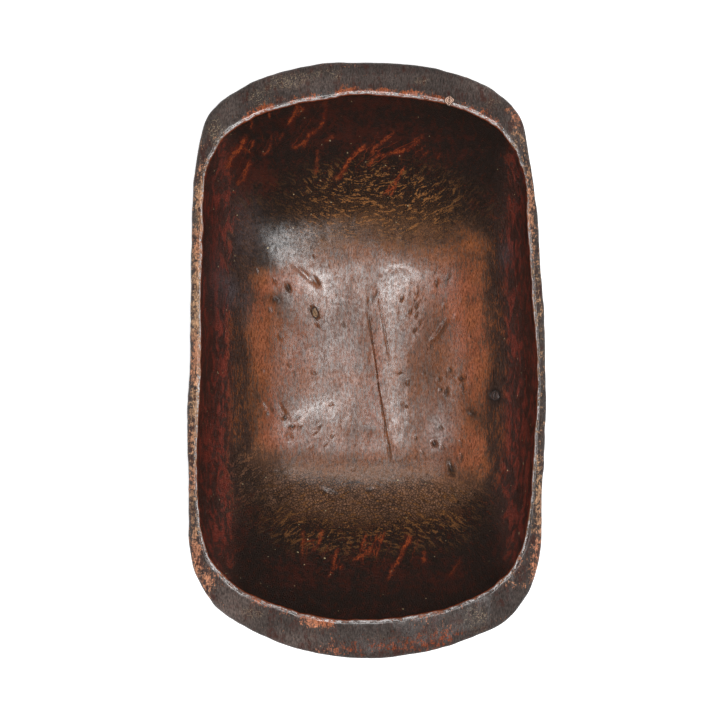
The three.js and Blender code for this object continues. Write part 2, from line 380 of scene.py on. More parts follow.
def flake_height(points):
    """The wood just right of the long split stands a little proud, most of all low down, and its
    left side has sunk."""
    gap, share = line_distance(points, CHECK)
    right = side_of(points, CHECK)
    height = np.where(right > 0, 0.15 + 0.35 * smooth_step(0.45, 0.75, share), -0.15)
    return height * np.exp(-gap / np.where(right > 0, 8, 12)) * tapered(share)


# ------------------------------------------------------------------------------- colours of the wood


def srgb(red, green, blue):
    """A colour as the eye names it, 0 to 255, as the linear light that a shader wants."""
    c = np.array([red, green, blue]) / 255
    return np.where(c <= 0.04045, c / 12.92, ((c + 0.055) / 1.055) ** 2.4)


HEART_BROWN = srgb(140, 82, 46)
DUSTY_ROSE = srgb(130, 84, 66)
RUST = srgb(154, 88, 60)
HONEY = srgb(122, 82, 52)
# painted sheen: the lighter tan of the lower end's slope where light falls on it
LOWER_SLOPE_SHEEN_TAN = srgb(146, 104, 78)
EMBER = srgb(128, 54, 24)
OXBLOOD = srgb(122, 54, 42)
SALMON = srgb(200, 132, 100)
FRESH_TAN = srgb(186, 146, 112)
SADDLE = srgb(112, 76, 52)

SOOT = srgb(34, 24, 19)
FLOOR_CORNER_BROWN = srgb(46, 33, 28)
WALL_SOOT = srgb(62, 42, 36)
RUBBED_ORANGE = srgb(160, 82, 44)
# painted sheen: the lighter grey of the ledges where they catch the light
LEDGE_SHEEN_GREY = srgb(104, 90, 84)
CHARCOAL = srgb(70, 61, 57)
GREY_WAX = srgb(92, 63, 47)
DARK_WAX = srgb(40, 28, 21)

# Rubbed streaks on the end walls, where the soot has gone: the line, its half width and its strength.
STREAKS = [
    ([(-69, 259), (-73, 252), (-77, 246), (-81, 240)], 2.2, 1),
    ([(-63, 256), (-67, 252), (-71, 248)], 1.6, 0.6),
    ([(-41, 264), (-43, 250), (-45, 244), (-50, 238), (-60, 233), (-63, 227), (-72, 222), (-80, 219)],
     2, 0.8),
    ([(-62, 228), (-66, 219)], 1.4, 0.5),
    ([(-122, 231), (-127, 224), (-128, 220), (-135, 214), (-139, 210), (-142, 203), (-146, 196)], 2.8, 1),
    ([(-115, 226), (-121, 218)], 1.6, 0.8),
    ([(-127, 219), (-120, 214)], 1.4, 0.7),
    ([(-116, 244), (-118, 235)], 1.6, 0.8),
    ([(-99, 252), (-99, 245)], 1.5, 0.7),
    ([(-98, 233), (-100, 221), (-103, 216), (-110, 212)], 1.8, 0.5),
    ([(-86, 234), (-90, 226)], 1.6, 0.5),
    ([(-120, 209), (-126, 198), (-130, 188), (-138, 183)], 2.4, 0.55),
    ([(-33, 233), (-43, 227)], 2.4, 0.4),
    ([(-51, 220), (-52, 209), (-54, 194)], 2.4, 0.45),
    ([(1, 227), (-5, 221), (-12, 216), (-19, 210), (-22, 203), (-27, 195), (-35, 189)], 2.4, 1),
    ([(29, 240), (26, 235), (19, 228), (8, 222), (3, 215)], 2, 0.65),
    ([(25, 243), (29, 236)], 1.4, 0.7),
    ([(60, 234), (53, 227), (45, 221), (37, 218), (22, 216), (11, 214), (4, 207), (-2, 202)], 2.2, 0.85),
    ([(41, 205), (37, 198), (33, 190), (28, 183), (23, 180), (17, 175)], 1.4, 1),
    ([(32, 187), (29, 181), (25, 174)], 1.3, 0.8),
    ([(65, 218), (55, 210)], 2, 0.4),
    ([(77, 217), (74, 210)], 2, 0.45),
    ([(46, -182), (45, -191), (39, -198), (36, -205), (32, -212), (27, -217), (23, -226)], 2.4, 1),
    ([(-30, -197), (-33, -206), (-34, -212), (-35, -220)], 2, 0.8),
    ([(-47, -179), (-49, -191), (-53, -196), (-59, -202)], 2, 0.8),
    ([(6, -195), (-1, -202), (-9, -208), (-15, -210)], 1.8, 0.8),
    ([(12, -184), (6, -197), (1, -207)], 1.8, 0.8),
    ([(20, -180), (14, -194), (9, -208)], 1.8, 0.8),
    ([(0, -183), (-5, -195), (-7, -203)], 2, 0.7),
    ([(-67, -179), (-67, -195), (-68, -206)], 2.2, 0.5),
    ([(-52, -190), (-65, -191)], 1.4, 0.6),
    ([(-25, -213), (-28, -218)], 2.2, 0.8),
    ([(61, -199), (59, -212)], 2.6, 0.55),
    ([(-35, -216), (-40, -226)], 2.6, 0.5),
    ([(29, -217), (21, -229)], 2.4, 0.4),
    ([(98, -206), (85, -224)], 2.4, 0.4),
]
# Where the worn floor ends, across the bowl: (x, y) at its upper and lower end.
UPPER_EDGE = [(-140, 80), (-105, 98), (-60, 114), (0, 122), (60, 128), (110, 140), (150, 140)]
LOWER_EDGE = [(-140, -92), (-100, -106), (0, -116), (60, -112), (110, -128), (150, -140)]
# Rust-red wood on the floor, and where it is paler and greyer: x, y, half width, half length, strength.
RED_WOOD = [
    (-92, 84, 26, 14, 1), (-114, 30, 16, 50, 0.7), (-118, 62, 9, 14, 0.6), (104, 60, 22, 50, 1),
    (118, 0, 18, 60, 0.8), (-104, -62, 12, 34, 1), (-92, -84, 20, 14, 0.9), (102, -110, 20, 30, 0.5),
    (12, -10, 7, 90, 0.5), (4, -60, 10, 40, 0.5), (30, -90, 3, 30, 0.4), (-80, 0, 22, 50, 0.5),
    (-20, 20, 12, 60, 0.3), (118, -90, 16, 30, 0.7), (84, 80, 20, 20, 0.4), (130, -120, 12, 24, 0.4),
]
ROSE_WOOD = [(78, -80, 20, 44, 1), (-30, 20, 30, 50, 0.5), (60, 40, 20, 50, 0.5), (-60, -90, 40, 22, 0.5)]
# Wood under a thin grey wax, and darker places.
GREY_PLACES = [
    (36, 24, 16, 16, 0.55), (-32, 22, 16, 26, 0.3), (-70, 112, 26, 12, 0.3), (30, 86, 20, 22, 0.35),
    (-60, -60, 36, 26, 0.4), (-4, -72, 22, 14, 0.55), (36, -70, 16, 44, 0.3), (-20, -10, 24, 5, 0.5),
    (-86, -36, 10, 16, 0.4), (-14, 40, 12, 30, 0.3), (-46, 40, 20, 14, 0.35), (66, 10, 10, 40, 0.2),
    (34, -120, 24, 10, 0.3), (-90, 60, 12, 14, 0.4),
]
DARK_PLACES = [
    (-99, 66, 9, 6, 0.6), (-84, 79, 4, 6, 0.5), (90, 40, 12, 5, 0.35), (82, 30, 9, 12, 0.3),
    (112, 66, 7, 9, 0.45), (122, -66, 10, 16, 0.7), (112, -56, 6, 6, 0.6), (137, -38, 9, 10, 0.6),
    (90, -118, 5, 9, 0.5), (-126, 66, 9, 20, 0.5), (-100, 64, 20, 6, 0.25), (86, 84, 3, 7, 0.5),
    (-44, -134, 30, 8, 0.3), (-120, -40, 9, 20, 0.5), (-96, -110, 24, 10, 0.5), (106, -128, 20, 10, 0.4),
    (110, 102, 14, 9, 0.35), (-138, 100, 8, 20, 0.5), (0, 132, 30, 9, 0.35),
]
# Bluish sheen painted on the skin of the walls, standing in for reflections: x, y, half width, half length,
# strength.
PAINTED_SHEEN_SPOTS = [
    (-158, 84, 7, 36, 0.45), (-126, 134, 16, 32, 0.7), (-143, 72, 7, 16, 1), (-152, 84, 6, 9, 0.8),
    (147, 111, 6, 12, 0.8), (-128, 60, 7, 26, 0.5),
]
# Patches of wax that are polished brightest: x, y, half width, half length, turn, strength.
POLISHED = [
    (-72, 108, 54, 19, -38, 1), (-44, 76, 24, 22, 0, 0.6), (-96, 134, 26, 15, -20, 0.8),
    (26, 82, 22, 22, 0, 1), (48, 92, 20, 12, -20, 0.6), (-110, 98, 18, 24, 0, 0.55),
    (-60, 136, 18, 10, 0, 0.5), (-114, -46, 14, 62, 0, 0.3), (76, -78, 20, 42, 0, 0.5),
    (20, -106, 66, 14, 0, 0.3), (-54, -58, 32, 27, 0, 1), (-34, 0, 26, 50, 0, 0.35),
    (24, 24, 16, 50, 0, 0.4), (32, -68, 17, 30, 0, 0.7), (-70, -96, 30, 10, 0, 0.3), (4, 100, 60, 12, 0, 0.2),
]
# Red stain in the soot of the walls: x, y, half width, half length, strength.
RED_STAIN = [
    (-160, 150, 14, 40, 0.9), (-158, 20, 14, 60, 1), (-158, -90, 14, 60, 1), (-150, -190, 20, 26, 0.7),
    (158, 140, 12, 60, 0.8), (162, 0, 12, 70, 1), (160, -110, 12, 60, 0.9), (140, -190, 16, 30, 0.5),
    (-132, 196, 24, 22, 0.9), (-60, 236, 70, 22, 0.5), (20, 232, 60, 20, 0.4), (90, 214, 40, 24, 0.35),
    (0, -220, 80, 24, 0.4), (-80, -220, 40, 20, 0.4), (80, -224, 40, 20, 0.35), (-96, 190, 20, 14, 0.35),
    (120, 160, 14, 22, 0.4), (-120, -160, 20, 20, 0.3), (0, 262, 90, 9, 0.5), (0, -256, 90, 7, 0.4),
]
# Where the rim's dark skin is worn through: x, y, half width, half length, strength.
WORN_RIM = [
    (-84, 262, 12, 3, 0.5), (-14, 271, 16, 3, 0.5), (8, 271, 14, 3, 0.5), (50, 268, 12, 3, 0.5),
    (152, 243, 6, 12, 2), (147, 252, 8, 4, 1.2), (-166, 160, 5, 30, 0.9), (-170, 60, 7, 70, 1),
    (-172, -40, 5, 40, 0.7), (-176, -120, 5, 60, 0.5), (-172, -200, 5, 30, 0.9), (-160, -232, 6, 20, 0.9),
    (164, 150, 4, 50, 0.6), (168, 60, 4, 50, 0.35), (176, 90, 3, 60, 0.4), (174, -150, 4, 50, 0.7),
    (170, -210, 4, 30, 0.6), (-52, -262, 10, 5, 0.6), (-35, -262, 3, 14, 0.8), (-30, -291, 30, 7, 0.75),
    (-50, -266, 16, 7, 0.8), (30, -287, 44, 10, 0.9), (72, -277, 24, 14, 0.8), (96, -270, 18, 5, 0.4),
    (175, -250, 4, 20, 0.8),
    (150, -262, 14, 4, 0.6), (-30, 298, 30, 2.5, 0.8), (100, 285, 14, 2.5, 0.6), (-60, 296, 20, 2.5, 0.3),
]
# Where a lighter sheen is painted into the ledges' skin: x, y, half width, half length, strength.
LEDGE_SHEEN_SPOTS = [
    (124, 278, 26, 14, 1), (-110, 290, 24, 8, 0.7), (-60, 277, 30, 7, 0.7), (150, 232, 10, 20, 0.7),
    (-138, -252, 24, 22, 1), (-76, -284, 34, 12, 0.8), (-140, 252, 10, 20, 0.5), (10, 282, 50, 8, 0.4),
]
# Clusters of tan flecks on the ledges: x, y, half width, half length, strength.
TAN_FLECKS = [
    (-150, 230, 14, 18, 1), (-108, 264, 16, 10, 0.9), (-80, 280, 20, 9, 0.9), (-40, 288, 30, 8, 0.6),
    (60, 282, 60, 12, 0.5), (130, 256, 20, 12, 0.5), (168, 200, 8, 40, 0.6), (-172, 150, 6, 40, 0.5),
    (0, -276, 120, 16, 0.45), (120, -262, 30, 14, 0.5), (-120, -256, 30, 14, 0.5), (100, -250, 30, 10, 0.4),
]


def mixed(ground, mask, over):
    """The ground, and what is laid over it where the mask is 1. Both are numbers or both colours."""
    is_colour = np.shape(over)[-1:] == (3,)
    return ground + (over - ground) * (mask[..., None] if is_colour else mask)


def covered(points, places):
    """Soft marks added up, each of its own strength and held between 0 and 1."""
    total = sum(strength * spot(points, *place) for *place, strength in places)
    return np.clip(total, 0, 1)


def nearest_line(points, lines):
    """For marks drawn as lines: how far each point is from the nearest one, counted in that line's
    own half widths, negative on one side, and that line's strength, which fades out at its ends."""
    offset = np.full(points.shape[:-1], 40.0)
    power = np.zeros_like(offset)
    for line, half_width, strength in lines:
        gap, share = line_distance(points, line)
        a, b = np.asarray(line[0], float), np.asarray(line[-1], float)
        side = np.sign((b[0] - a[0]) * (points[..., 1] - a[1]) - (b[1] - a[1]) * (points[..., 0] - a[0]))
        nearer = gap / half_width < np.abs(offset)
        offset = np.where(nearer, side * gap / half_width, offset)
        power = np.where(nearer, strength * tapered(share), power)
    return offset, power * smooth_step(7, 4, np.abs(offset))


def hollow_paint(rings, wander, fine):
    """The hollow: red-brown wood under thin wax on its floor, strokes of the adze at its ends, and
    soot with a red stain up its walls."""
    x, y, z = np.moveaxis(rings, -1, 0)
    height = z + 4 * wander
    below = y < 0
    # on the right side the dark band and walls begin a little further in: a painted shade where the floor's
    # sheen falls off
    aside = np.abs(x - 7) / 165 + 0.05 * wander + 0.05 * (x > 7)
    sideways = smooth_step(0.8, 0.94, aside)
    walls = smooth_step(40, 58, height) * sideways
    # band: the strip where the floor meets the walls, which is darker brown
    band = smooth_step(0.74, 0.84, aside) * (1 - smooth_step(56, 76, height))
    upper, lower = (np.interp(x, *np.transpose(edge)) for edge in (UPPER_EDGE, LOWER_EDGE))
    ends = smooth_step(-18, 24, np.where(below, lower - y, y - upper) + 14 * wander + 9 * fine)
    sooty_above = smooth_step(48, 108, np.abs(x - 10) + 12 * wander)
    sooty_below = smooth_step(80, 128, np.abs(x - 6) + 16 * wander)
    sooty = np.where(below, sooty_below, sooty_above)
    red = covered(rings, RED_WOOD)
    dark = covered(rings, DARK_PLACES)
    polished = covered(rings, POLISHED)
    # where a bluish sheen is painted on the walls, standing in for reflections
    painted_sheen = covered(rings, PAINTED_SHEEN_SPOTS)
    deep = [(x, y, 0.8 * half_x, 0.8 * half_y, turn, depth / 2) for x, y, half_x, half_y, turn, depth in PITS]
    in_pit = covered(rings, deep + [(*FLOOR_KNOT, 1.8), (*PIN_KNOT, 1.8)])

    wood = mixed(HEART_BROWN, covered(rings, ROSE_WOOD), DUSTY_ROSE)
    wood = mixed(wood, np.clip(red * (1 + 0.9 * fine), 0, 1), RUST)
    wood = mixed(wood, ends, HONEY)
    # the lower end's slope is painted lighter, standing in for the sheen on it
    wood = mixed(wood, ends * below * (1 - smooth_step(44, 62, height)), LOWER_SLOPE_SHEEN_TAN)
    wood = mixed(wood, smooth_step(48, 66, height), EMBER)
    wood = mixed(wood, walls, OXBLOOD)

    skin = mixed(GREY_WAX, np.maximum(ends, 0.6 * dark), DARK_WAX)
    skin = mixed(skin, smooth_step(38, 62, height - 4 * below), SOOT)
    skin = mixed(skin, 0.8 * band, FLOOR_CORNER_BROWN)
    skin = mixed(skin, walls, WALL_SOOT)
    skin = mixed(skin, np.minimum(in_pit, 0.9), SOOT)

    cover = 0.4 + 0.16 * fine - 0.2 * red
    cover = mixed(cover, 0.8 * covered(rings, GREY_PLACES), 0.95)
    # on the lower end the skin is thinner, which also paints that slope lighter for its sheen
    cover = mixed(cover, ends, 0.5 + 0.14 * smooth_step(32, 46, height) - 0.2 * below + 0.2 * fine)
    cover = mixed(cover, 0.8 * ends * sooty, 1.1)
    cover = mixed(cover, smooth_step(38, 58, height - 6 * below) * (1 - sideways), 1.15)
    cover = mixed(cover, walls, 0.56 + 0.2 * wander + 0.1 * fine)
    cover = mixed(cover, band * (1 - walls), 0.8 + 0.2 * fine)
    cover = mixed(cover, dark, 1)
    cover = mixed(cover, in_pit, 1.3)

    sheen = mixed(0.1 + 0.25 * polished, ends, 0.12 + 0.15 * below + 0.4 * polished)
    sheen = mixed(sheen, np.maximum(smooth_step(40, 60, height), band), 0.05) + 0.12 * painted_sheen
    in_middle = 1 - 0.6 * smooth_step(70, 120, np.abs(x))
    return {
        "wood_colour": wood,
        "skin_colour": skin,
        "skin_cover": cover,
        "red_stain": covered(rings, RED_STAIN) * smooth_step(40, 60, height) * (1 - 0.7 * walls),
        "flecks": ends * (1 - smooth_step(56, 80, height)) * (1 - 0.85 * sooty) * (1 - 0.25 * below),
        "crackle": smooth_step(6, 20, lower - y) * (1 - smooth_step(44, 70, height)) * in_middle,
        "sweep": smooth_step(0.25, 0.75, ends) * (1 - walls),
        "flames": walls,
        "painted_sheen": painted_sheen,
        "sheen": sheen,
    }


def rim_paint(rings, from_lip, wander, fine):
    """The rim: fresh wood where it is worn through its charcoal skin, and rubbed orange at its lip."""
    x, y = rings[..., 0], rings[..., 1]
    ledge = smooth_step(215, 245, np.abs(y))
    fringe = np.where(y > 0, 1.3, 0.5) * ledge * smooth_step(150, 110, np.abs(x)) * (0.75 + 1.3 * fine)
    fringe *= bell(np.minimum(from_lip + 2.5, 0) / (6 + 4 * fine))
    red_end = smooth_step(-262, -276, y) * smooth_step(-60, -10, x)
    wood = mixed(FRESH_TAN, smooth_step(-0.3, 0.6, wander + 0.6 * ledge), SALMON)
    wood = mixed(wood, 0.9 * red_end + 0.3 * ledge * (y > 0), EMBER)
    wood = mixed(wood, np.clip(1.2 * fringe, 0, 1), RUBBED_ORANGE)
    cover = np.where(ledge > 0.5, 1.2, 0.86) + 0.1 * fine - 0.7 * covered(rings, WORN_RIM)
    cover -= fringe + 0.3 * bell(np.minimum(from_lip + 1, 0) / 2)
    return {
        "wood_colour": wood,
        # the ledges' skin is painted lighter where a sheen falls on it
        "skin_colour": mixed(CHARCOAL, covered(rings, LEDGE_SHEEN_SPOTS), LEDGE_SHEEN_GREY),
        "skin_cover": cover,
        "red_stain": 0.25 + 0.25 * fine,
        "flecks": smooth_step(0.35, 0.9, covered(rings, TAN_FLECKS) * (1 + fine)),
        "sweep": 0,
        "sheen": 0.2 - 0.1 * smooth_step(-30, 20, x) * (y < 0),
    }


def outside_paint(from_edge, wander, fine):
    """The hewn outside: brown wood under dark wax, which has worn thin just below the edge."""
    return {
        "wood_colour": SADDLE,
        "skin_colour": mixed(DARK_WAX, 0.5 + 0.5 * wander, CHARCOAL),
        "skin_cover": 0.74 + 0.2 * wander + 0.1 * fine - 0.35 * bell((from_edge + 4) / 6) * (1 + fine),
        "red_stain": 0.3 + 0.3 * wander,
        "flecks": 0.15,
        "sweep": 0,
        "sheen": 0.15,
    }


def painted(rings, from_lip, from_edge):
    """Values for each grid point that the material draws the wood from. All change slowly, and the
    grain breaks them up in the material. The colours are of the bare wood and of the dark skin of
    soot and wax over it, and skin_cover is how much of the wood the skin hides. sweep is 1 where
    the adze's strokes show more than the grain does, and flames where the walls' wavy figure does."""
    wander = rough_cloud(rings, 40, 71)
    fine = rough_cloud(rings, 14, 75)
    hollow = smooth_step(-0.5, 1.5, from_lip)
    above_edge = smooth_step(-3, 0.5, from_edge)
    paint = hollow_paint(rings, wander, fine)
    for key in ("flames", "painted_sheen", "crackle"):
        paint[key] = paint[key] * hollow
    layers = [
        (above_edge * (1 - hollow), rim_paint(rings, from_lip, wander, fine)),
        (1 - above_edge, outside_paint(from_edge, wander, fine)),
    ]
    for mask, layer in layers:
        paint.update({key: mixed(paint[key], mask, value) for key, value in layer.items()})
    for key, value in paint.items():
        paint[key] = np.clip(value, -0.2, 1.2) if key == "skin_cover" else np.clip(value, 0, 1)

    split_lines = [(line, half_width, 0.5 + 0.3 * depth) for line, half_width, depth in SPLITS]
    inside = smooth_step(3, 8, from_lip)
    for key, lines in (("streak", STREAKS), ("split", split_lines)):
        offset, power = nearest_line(rings, lines)
        paint[key + "_offset"] = offset
        paint[key + "_power"] = power * inside
    return {**paint, "from_lip": from_lip, "from_edge": from_edge}


# -------------------------------------------------------------------------------------- mesh making


def piece_from_grid(name, rings, values, first, last, slot, *nodes):
    """A closed mesh from rings of equal length and a point at either end, smooth-shaded, with its
    values written as attributes on its vertices. `first` and `last` are the two points."""
    count, around = rings.shape[:2]
    vertices = np.vstack([[first], rings.reshape(-1, 3), [last]])
    ring, spoke = np.meshgrid(np.arange(count - 1), np.arange(around), indexing="ij")
    beside = (spoke + 1) % around
    corners = [1 + ring * around + spoke, 1 + ring * around + beside]
    corners += [corners[1] + around, corners[0] + around]
    quads = np.stack(corners, axis=-1).reshape(-1, 4)
    spokes = np.arange(around)
    next_spoke = (spokes + 1) % around
    top = 1 + (count - 1) * around
    start = np.stack([np.zeros_like(spokes), 1 + next_spoke, 1 + spokes], axis=-1)
    end = np.stack([top + spokes, top + next_spoke, np.full_like(spokes, len(vertices) - 1)], axis=-1)
    mesh = bpy.data.meshes.new(name)
    mesh.from_pydata(vertices.tolist(), [], start.tolist() + quads.tolist() + end.tolist())
    for key, value in values.items():
        flat = value.reshape(count * around, -1)
        whole = np.vstack([flat[:around].mean(axis=0), flat, flat[-around:].mean(axis=0)])
        kind, field = ("FLOAT_VECTOR", "vector") if whole.shape[1] == 3 else ("FLOAT", "value")
        mesh.attributes.new(key, kind, "POINT").data.foreach_set(field, whole.ravel())
    mesh.polygons.foreach_set("use_smooth", np.ones(len(mesh.polygons), bool))
    mesh.update()
    piece = bpy.data.objects.new(name, mesh)
    bpy.context.collection.objects.link(piece)
    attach(piece, "root")
    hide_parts(*nodes)
    return piece


def bowl_body():
    rings, from_lip, from_edge = carved(*smooth_form())
    values = painted(rings, from_lip, from_edge)
    foot = (0, 0, 0)
    middle = rings[-1].mean(axis=0) * MM
    return piece_from_grid("bowl", rings * MM, values, foot, middle, "patinated_wood", "bowl_body")


def knot(name, node, place, top, depth, dome, lean, seed, squareness):
    """A tight knot: a plug whose outline wavers, narrowing with depth, with growth rings standing
    up in ridges on its domed end and one or two drying splits across it."""
    x, y, half_x, half_y, turn = place
    angle = np.arange(KNOT_SPOKES) * 2 * np.pi / KNOT_SPOKES
    outline = 1 + 0.05 * np.cos(3 * angle + seed) + 0.035 * np.cos(5 * angle - 2 * seed)
    outline -= squareness * np.cos(4 * angle)
    on_end = np.repeat([0, 1], (KNOT_SIDE_RINGS, KNOT_END_RINGS))
    up_side = np.arange(KNOT_SIDE_RINGS) / KNOT_SIDE_RINGS
    share = np.concatenate([0.5 + 0.5 * up_side, np.linspace(1, 0.04, KNOT_END_RINGS)])
    level = np.concatenate([depth * (up_side - 1), np.zeros(KNOT_END_RINGS)])
    r = share[:, None] * outline[None, :]
    ridges = 0.09 * np.sin(share * 26 + seed)[:, None]
    split_gap = np.abs(np.sin(angle - 0.7 * seed))[None, :] * share[:, None]
    split = bell(split_gap / 0.07) * on_end[:, None] * (share < 0.85)[:, None]
    z = level[:, None] + on_end[:, None] * (dome * (1 - share[:, None] ** 2) + ridges) - 0.6 * split
    a = math.radians(turn)
    u, v = half_x * r * np.cos(angle), half_y * r * np.sin(angle)
    points = np.stack([u * math.cos(a) - v * math.sin(a), u * math.sin(a) + v * math.cos(a), z], axis=-1)
    tilt_x, tilt_y = lean
    points[..., 2] += points[..., 0] * tilt_x + points[..., 1] * tilt_y
    points += (x, y, top)
    ends = points[0].mean(axis=0), points[-1].mean(axis=0)
    values = {"knot_share": share[:, None] * np.ones((1, KNOT_SPOKES)), "split": split}
    return piece_from_grid(name, points * MM, values, ends[0] * MM, ends[1] * MM, "knot_wood", node)


# The knots: name, CAD node, place, top, depth, dome, lean, seed and squareness, then the name of
# each one's wood and the colours of its growth rings and of the wood between them.
KNOTS = [
    (("knot_in_rim", "rim_knot", RIM_KNOT, 144.6, 3, 1, (0, -0.1), 1, 0.1),
     "worn_knot", srgb(216, 176, 154), srgb(110, 78, 62)),
    (("knot_in_floor", "floor_knot", FLOOR_KNOT, 42.6, 3, 0.7, (0.5, 0), 2, 0),
     "dark_knot", srgb(74, 52, 44), srgb(26, 19, 17)),
    (("knot_pin", "pin_knot", PIN_KNOT, 26.8, 2.2, 0.3, (-0.04, 0.04), 3, 0),
     "pin_knot_wood", srgb(168, 130, 92), srgb(78, 54, 38)),
]

# ---------------------------------------------------------------------------------------- materials


class Tree:
    """Adds nodes to a material or a group: put() makes one, sets its fields and fills its sockets,
    with a link where a socket is given and a plain value where it isn't."""

    def __init__(self, tree):
        self.tree = tree

    def put(self, kind, sockets=None, **fields):
        node = self.tree.nodes.new(kind)
        for field, value in fields.items():
            setattr(node, field, value)
        for key, value in (sockets or {}).items():
            self.link(value, node.inputs[key])
        return node

    def link(self, value, socket):
        if isinstance(value, bpy.types.NodeSocket):
            self.tree.links.new(value, socket)
        else:
            socket.default_value = value

    def maths(self, operation, *values):
        return self.put("ShaderNodeMath", dict(enumerate(values)), operation=operation).outputs[0]

    def times(self, a, b):
        return self.maths("MULTIPLY", a, b)

    def plus(self, a, b):
        return self.maths("ADD", a, b)

    def vectors(self, operation, *values, **named):
        sockets = {**dict(enumerate(values)), **named}
        return self.put("ShaderNodeVectorMath", sockets, operation=operation).outputs[0]

    def joined(self, *parts):
        return self.put("ShaderNodeCombineXYZ", dict(enumerate(parts))).outputs[0]

    def length(self, a, b):
        return self.maths("SQRT", self.plus(self.times(a, a), self.times(b, b)))

    def ramp(self, value, low, high, to_low=0.0, to_high=1.0, kind="SMOOTHSTEP"):
        """An S-shaped step between to_low, where the value is low, and to_high."""
        sockets = {"Value": value, "From Min": low, "From Max": high, "To Min": to_low, "To Max": to_high}
        return self.put("ShaderNodeMapRange", sockets, interpolation_type=kind).outputs[0]

    def spread(self, value, low, high):
        """The value stretched so that low becomes 0 and high becomes 1."""
        return self.ramp(value, low, high, kind="LINEAR")

    def centred(self, value, width):
        """A value from 0 to 1 turned into one that sways about 0 by half the width either way."""
        return self.times(self.maths("SUBTRACT", value, 0.5), width)

    def weighed(self, *pairs):
        """The sum of values, each times its weight."""
        total = self.times(*pairs[0])
        for value, weight in pairs[1:]:
            total = self.maths("MULTIPLY_ADD", value, weight, total)
        return total

    def blend(self, share, a, b):
        """Number a where the share is 0 and number b where it is 1."""
        return self.put("ShaderNodeMix", {0: share, 2: a, 3: b}, data_type="FLOAT").outputs[0]

    def mix(self, share, a, b, blend="MIX"):
        node = self.put("ShaderNodeMix", {0: share, 6: a, 7: b}, data_type="RGBA", blend_type=blend)
        return node.outputs[2]

    def shaded(self, colour, value, low, high):
        """The colour times low where the value is 0 and times high where it is 1."""
        shade = self.ramp(value, 0, 1, low, high, "LINEAR")
        return self.mix(1.0, colour, self.joined(shade, shade, shade), "MULTIPLY")

    def noise(self, vector, scale, detail=2.0, rough=0.5, distort=0.0):
        sockets = {"Vector": vector, "Scale": scale, "Detail": detail, "Roughness": rough}
        return self.put("ShaderNodeTexNoise", {**sockets, "Distortion": distort}).outputs[0]

    def swayed(self, place, pattern, scale, reach):
        """A place pushed about by a slow noise on another one."""
        noise = self.put("ShaderNodeTexNoise", {"Vector": pattern, "Scale": scale, "Detail": 2.0})
        return self.vectors("ADD", place, self.vectors("SCALE", noise.outputs["Color"], Scale=reach))

    def stretched(self, vector, x, y, z):
        return self.put("ShaderNodeMapping", {"Vector": vector, "Scale": (x, y, z)}).outputs[0]

    def attribute(self, name, output="Fac"):
        return self.put("ShaderNodeAttribute", attribute_name=name).outputs[output]

    def group(self, group, **sockets):
        return self.put("ShaderNodeGroup", sockets, node_tree=group).outputs


def new_group(name, inputs, outputs):
    """A shader group with float inputs, given with their first values, a Vector where the value is
    None, and float outputs."""
    group = bpy.data.node_groups.new(name, "ShaderNodeTree")
    for key, value in inputs.items():
        kind = "NodeSocketVector" if value is None else "NodeSocketFloat"
        socket = group.interface.new_socket(key, in_out="INPUT", socket_type=kind)
        if value is not None:
            socket.default_value = value
    for key in outputs:
        group.interface.new_socket(key, in_out="OUTPUT", socket_type="NodeSocketFloat")
    tree = Tree(group)
    return group, tree, tree.put("NodeGroupInput").outputs, tree.put("NodeGroupOutput").inputs


PITH = (0.02, 0.42)  # where the middle of the trunk lay: x, and height over the foot
SWING = (0.005, 0.30)  # the point that the adze swung round at either end: x, and distance along


def grain_group():
    """Wood grain along Y in object space. Fibres: fine noise drawn out along the trunk. Figure: the
    growth rings, as noise on the distance from the pith. Pores: short dashes along the trunk. Hairs:
    the finest fibres."""
    names = ["Fibres", "Figure", "Pores", "Hairs"]
    group, t, given, out = new_group("wood_grain", {"Vector": None, "Fineness": 1.0}, names)
    place = t.vectors("SCALE", given["Vector"], Scale=given["Fineness"])
    place = t.swayed(place, t.stretched(place, 1, 0.35, 1), 40.0, 0.006)
    fibres = t.noise(t.stretched(place, 520, 80, 520), 1.0, 5.0, 0.7)
    parts = t.put("ShaderNodeSeparateXYZ", {0: place}).outputs
    from_pith = (t.maths("SUBTRACT", parts[0], PITH[0]), t.maths("SUBTRACT", PITH[1], parts[2]))
    distance = t.length(*from_pith)
    angle = t.maths("ARCTAN2", *from_pith)
    growth = t.joined(t.times(distance, 420.0), t.times(parts[1], 18.0), t.times(angle, 14.0))
    figure = t.noise(growth, 1.0, 3.0, 0.6)
    dashes = t.noise(t.stretched(place, 800, 150, 800), 1.0, 1.0, 0.5)
    t.link(t.spread(fibres, 0.32, 0.68), out["Fibres"])
    t.link(t.spread(figure, 0.3, 0.7), out["Figure"])
    t.link(t.ramp(dashes, 0.64, 0.72), out["Pores"])
    t.link(t.spread(t.noise(t.stretched(place, 950, 260, 950), 1.0, 1.0), 0.34, 0.66), out["Hairs"])
    return group


def sweep_group():
    """The adze's sweeping strokes at the ends: noise drawn out along arcs round the point that the
    tool swung about, which is mirrored for the other end."""
    group, t, given, out = new_group("adze_sweeps", {"Vector": None}, ["Strokes"])
    place = t.swayed(given["Vector"], given["Vector"], 30.0, 0.016)
    parts = t.put("ShaderNodeSeparateXYZ", {0: place}).outputs
    across = t.maths("SUBTRACT", parts[0], SWING[0])
    along = t.maths("SUBTRACT", SWING[1], t.maths("ABSOLUTE", parts[1]))
    distance = t.length(across, along)
    angle = t.maths("ARCTAN2", across, along)
    arcs = t.joined(t.times(distance, 380.0), t.times(angle, 12.0), t.times(parts[2], 60.0))
    t.link(t.spread(t.noise(arcs, 1.0, 4.0, 0.7), 0.36, 0.64), out["Strokes"])
    return group


